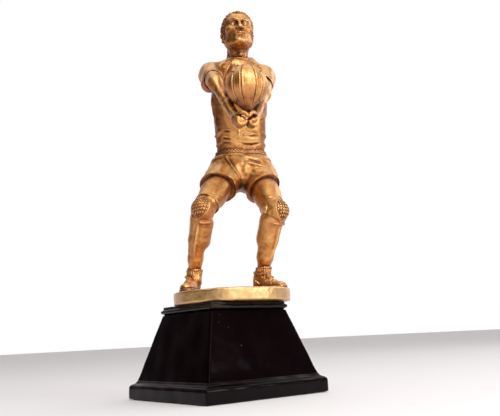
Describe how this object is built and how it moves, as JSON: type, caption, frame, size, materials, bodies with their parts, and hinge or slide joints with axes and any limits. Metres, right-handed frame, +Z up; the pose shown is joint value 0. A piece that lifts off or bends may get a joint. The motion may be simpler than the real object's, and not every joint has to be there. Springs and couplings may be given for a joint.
{
  "type": "figure trophy",
  "caption": "Gold volleyball player meeting a ball with joined forearms, standing on a round gold disc on a black tapered square plinth.",
  "frame": {"origin": "centre of the plinth's underside, on the surface that the trophy stands on", "axes": "+Z up, the plinth's sides along X and Y, its front face towards -Y; the figure looks about 23 degrees from -Y towards -X"},
  "size_m": [0.1067, 0.1229, 0.301],
  "materials": {
    "gold_paint": "antique gold metallic paint on cast resin, finely speckled",
    "black_paint": "gloss black paint on a slightly lumpy moulding",
    "felt": "pressed wool felt",
    "board": "brown hardboard",
    "steel": "zinc plated steel"
  },
  "bodies": {
    "root": {"felt_pad": "felt", "bottom_board": "board", "plinth_foot": "black_paint", "plinth_body": "black_paint", "plinth_cap": "black_paint", "board_screw_1": "steel", "board_screw_2": "steel", "board_screw_3": "steel", "board_screw_4": "steel", "tie_rod": "steel", "rod_nut": "steel", "rod_washer": "steel", "disc_base": "gold_paint", "jersey": "gold_paint", "shorts": "gold_paint", "head": "gold_paint", "clasped_hands": "gold_paint", "ball": "gold_paint", "right_arm": "gold_paint", "right_leg": "gold_paint", "right_knee_pad": "gold_paint", "right_shoe": "gold_paint", "left_arm": "gold_paint", "left_leg": "gold_paint", "left_knee_pad": "gold_paint", "left_shoe": "gold_paint", "neck_pin": "steel", "waist_pin": "steel", "right_arm_pin": "steel", "right_hip_pin": "steel", "right_wrist_pin": "steel", "right_foot_pin": "steel", "left_arm_pin": "steel", "left_hip_pin": "steel", "left_wrist_pin": "steel", "left_foot_pin": "steel", "ball_pin": "steel"}
  },
  "joints": []
}
